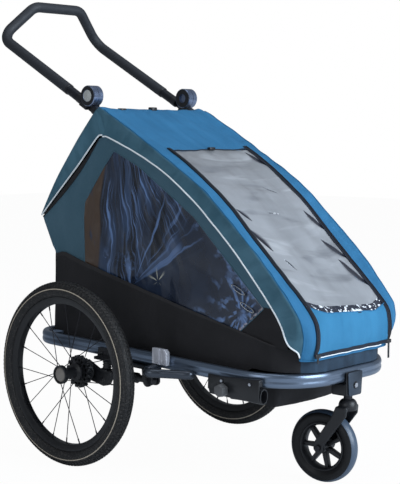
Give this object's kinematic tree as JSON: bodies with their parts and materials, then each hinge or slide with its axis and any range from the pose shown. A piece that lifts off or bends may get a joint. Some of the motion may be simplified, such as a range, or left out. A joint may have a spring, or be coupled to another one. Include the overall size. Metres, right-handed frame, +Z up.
{
  "type": "child bike trailer",
  "caption": "Folding child bike trailer in stroller trim: tilting push handle, sprung spoked wheels, swivel caster, zipped canopy and drawbar socket.",
  "frame": {"origin": "on the ground, under the middle of the trailer's bounding box", "axes": "+Z up, -Y towards the nose and drawbar end, +X to the trailer's left side"},
  "size_m": [0.728, 1.15, 1.2848],
  "materials": {
    "frame_coating": "semi-matt anthracite powder coat with a bluish sheen",
    "black_tube": "satin black anodised tube",
    "black_plastic": "black moulded plastic, fine grain",
    "grey_plastic": "light grey moulded plastic",
    "plated_steel": "zinc-plated steel",
    "tyre_rubber": "black tyre rubber with a pale reflective band on the rear tyres",
    "spring_rubber": "black elastomer",
    "grip_foam": "matt black foam sleeve",
    "roof_fabric": "coated blue polyester canvas",
    "panel_fabric": "coated teal polyester canvas",
    "tub_fabric": "coated black polyester canvas",
    "seat_fabric": "padded grey-black upholstery",
    "clear_film": "clear soft window film with waves and creases",
    "tinted_film": "tinted soft window film with upright folds",
    "silver_reflector": "silver-grey reflective plastic"
  },
  "bodies": {
    "base": {"base_ring": "frame_coating", "floor_pan": "tub_fabric", "rear_cross_tube": "frame_coating", "tub_walls": "tub_fabric", "rear_panel": "panel_fabric", "side_panel_l": "panel_fabric", "side_panel_r": "panel_fabric", "side_window_l": "tinted_film", "side_window_r": "tinted_film", "suspension_bracket_l": "black_plastic", "suspension_bracket_r": "black_plastic", "elastomer_l": "spring_rubber", "elastomer_r": "spring_rubber", "caster_bracket": "black_plastic", "drawbar_socket": "black_plastic", "wheel_deflector_l": "frame_coating", "wheel_deflector_r": "frame_coating", "side_reflector_l": "silver_reflector", "side_reflector_r": "silver_reflector", "seat_cushion": "seat_fabric"},
    "hoop": {"hoop_tube_l": "black_tube", "hoop_tube_r": "black_tube", "hoop_cross_tube": "black_tube", "hinge_fixed_l": "black_plastic", "hinge_fixed_r": "black_plastic", "canopy": "roof_fabric", "front_window": "clear_film"},
    "handle": {"handle_tube": "black_tube", "handle_grip": "grip_foam", "hinge_moving_l": "black_plastic", "hinge_moving_r": "black_plastic"},
    "strut": {"rear_strut": "black_tube", "rear_cover": "panel_fabric"},
    "posts": {"rear_frame": "black_tube"},
    "seat_back": {"seat_back_board": "black_plastic", "seat_back_cushion": "seat_fabric", "harness": "tub_fabric", "harness_buckle": "black_plastic"},
    "caster": {"caster_fork": "black_plastic", "caster_axle": "plated_steel"},
    "caster_wheel": {"caster_tyre": "tyre_rubber", "caster_rim": "black_plastic"},
    "plunger": {"drawbar_plunger": "grey_plastic"},
    "pedal": {"brake_pedal": "black_plastic"},
    "arm_l": {"swing_arm_l": "black_plastic"},
    "wheel_l": {"tyre_l": "tyre_rubber", "rim_l": "black_tube", "hub_l": "black_plastic"},
    "hub_button_l": {"hub_button_l": "grey_plastic"},
    "hinge_button_l": {"hinge_button_l": "grey_plastic"},
    "brake_pin_l": {"brake_pin_l": "plated_steel"},
    "knee_lever_l": {"knee_lever_l": "plated_steel"},
    "arm_r": {"swing_arm_r": "black_plastic"},
    "wheel_r": {"tyre_r": "tyre_rubber", "rim_r": "black_tube", "hub_r": "black_plastic"},
    "hub_button_r": {"hub_button_r": "grey_plastic"},
    "hinge_button_r": {"hinge_button_r": "grey_plastic"},
    "brake_pin_r": {"brake_pin_r": "plated_steel"},
    "knee_lever_r": {"knee_lever_r": "plated_steel"}
  },
  "joints": [
    {"name": "frame_fold", "type": "hinge", "parent": "base", "child": "hoop", "pos_m": [0, -0.50628, 0.33544], "axis": [1, 0, 0], "range_deg": [-37.5, 0], "deforming": ["tub_walls", "rear_panel", "side_panel_l", "side_panel_r", "side_window_l", "side_window_r", "rear_cover"]},
    {"name": "rear_frame_fold", "type": "hinge", "parent": "base", "child": "posts", "pos_m": [0, 0.31343, 0.35767], "axis": [1, 0, 0], "range_deg": [0, 99]},
    {"name": "rear_strut_fold", "type": "hinge", "parent": "hoop", "child": "strut", "pos_m": [0, 0.13896, 0.93239], "axis": [1, 0, 0], "range_deg": [-90, 0]},
    {"name": "seat_back_fold", "type": "hinge", "parent": "base", "child": "seat_back", "pos_m": [0, 0.23473, 0.37817], "axis": [1, 0, 0], "range_deg": [0, 93]},
    {"name": "handle_tilt", "type": "hinge", "parent": "hoop", "child": "handle", "pos_m": [0, 0.18347, 0.99834], "axis": [1, 0, 0], "range_deg": [-35, 170]},
    {"name": "caster_swivel", "type": "hinge", "parent": "base", "child": "caster", "pos_m": [0, -0.5497, 0.237], "axis": [0, 0, 1], "continuous": true},
    {"name": "caster_spin", "type": "hinge", "parent": "caster", "child": "caster_wheel", "pos_m": [-0.0077, -0.48214, 0.0946], "axis": [0.9936, 0.1132, 0], "continuous": true},
    {"name": "drawbar_plunger_pull", "type": "slide", "parent": "base", "child": "plunger", "axis": [-1, 0, 0], "range_m": [0, 0.008], "stiffness_N_per_m": 800, "springref_m": -0.006},
    {"name": "brake_pedal_press", "type": "hinge", "parent": "base", "child": "pedal", "pos_m": [0, 0.38766, 0.28901], "axis": [1, 0, 0], "range_deg": [-20, 0]},
    {"name": "suspension_l", "type": "hinge", "parent": "base", "child": "arm_l", "pos_m": [0.252, -0.0982, 0.25], "axis": [1, 0, 0], "range_deg": [0, 4.5], "stiffness_Nm_per_rad": 150, "springref_deg": -12.61, "deforming": ["elastomer_l"]},
    {"name": "wheel_spin_l", "type": "hinge", "parent": "arm_l", "child": "wheel_l", "pos_m": [0.338, 0.1368, 0.25], "axis": [1, 0, 0], "continuous": true},
    {"name": "hub_button_press_l", "type": "slide", "parent": "wheel_l", "child": "hub_button_l", "axis": [-1, 0, 0], "range_m": [0, 0.003], "stiffness_N_per_m": 600, "springref_m": -0.003},
    {"name": "hinge_button_press_l", "type": "slide", "parent": "handle", "child": "hinge_button_l", "axis": [-1, 0, 0], "range_m": [0, 0.003], "stiffness_N_per_m": 600, "springref_m": -0.003},
    {"name": "brake_pin_out_l", "type": "slide", "parent": "arm_l", "child": "brake_pin_l", "axis": [1, 0, 0], "range_m": [0, 0.0081]},
    {"name": "knee_lever_open_l", "type": "hinge", "parent": "strut", "child": "knee_lever_l", "pos_m": [0.155, 0.36371, 0.66244], "axis": [1, 0, 0], "range_deg": [0, 90]},
    {"name": "suspension_r", "type": "hinge", "parent": "base", "child": "arm_r", "pos_m": [-0.252, -0.0982, 0.25], "axis": [1, 0, 0], "range_deg": [0, 4.5], "stiffness_Nm_per_rad": 150, "springref_deg": -12.61, "deforming": ["elastomer_r"]},
    {"name": "wheel_spin_r", "type": "hinge", "parent": "arm_r", "child": "wheel_r", "pos_m": [-0.338, 0.1368, 0.25], "axis": [1, 0, 0], "continuous": true},
    {"name": "hub_button_press_r", "type": "slide", "parent": "wheel_r", "child": "hub_button_r", "axis": [1, 0, 0], "range_m": [0, 0.003], "stiffness_N_per_m": 600, "springref_m": -0.003},
    {"name": "hinge_button_press_r", "type": "slide", "parent": "handle", "child": "hinge_button_r", "axis": [1, 0, 0], "range_m": [0, 0.003], "stiffness_N_per_m": 600, "springref_m": -0.003},
    {"name": "brake_pin_out_r", "type": "slide", "parent": "arm_r", "child": "brake_pin_r", "axis": [-1, 0, 0], "range_m": [0, 0.0081]},
    {"name": "knee_lever_open_r", "type": "hinge", "parent": "strut", "child": "knee_lever_r", "pos_m": [-0.155, 0.36371, 0.66244], "axis": [1, 0, 0], "range_deg": [0, 90]}
  ],
  "couplings": [
    {"joint": "rear_frame_fold", "follows": "frame_fold", "ratio": -2.64},
    {"joint": "rear_strut_fold", "follows": "frame_fold", "ratio": 2.4},
    {"joint": "seat_back_fold", "follows": "frame_fold", "ratio": -2.48},
    {"joint": "brake_pin_out_l", "follows": "brake_pedal_press", "m_per_rad": -0.0229},
    {"joint": "brake_pin_out_r", "follows": "brake_pedal_press", "m_per_rad": -0.0229}
  ]
}
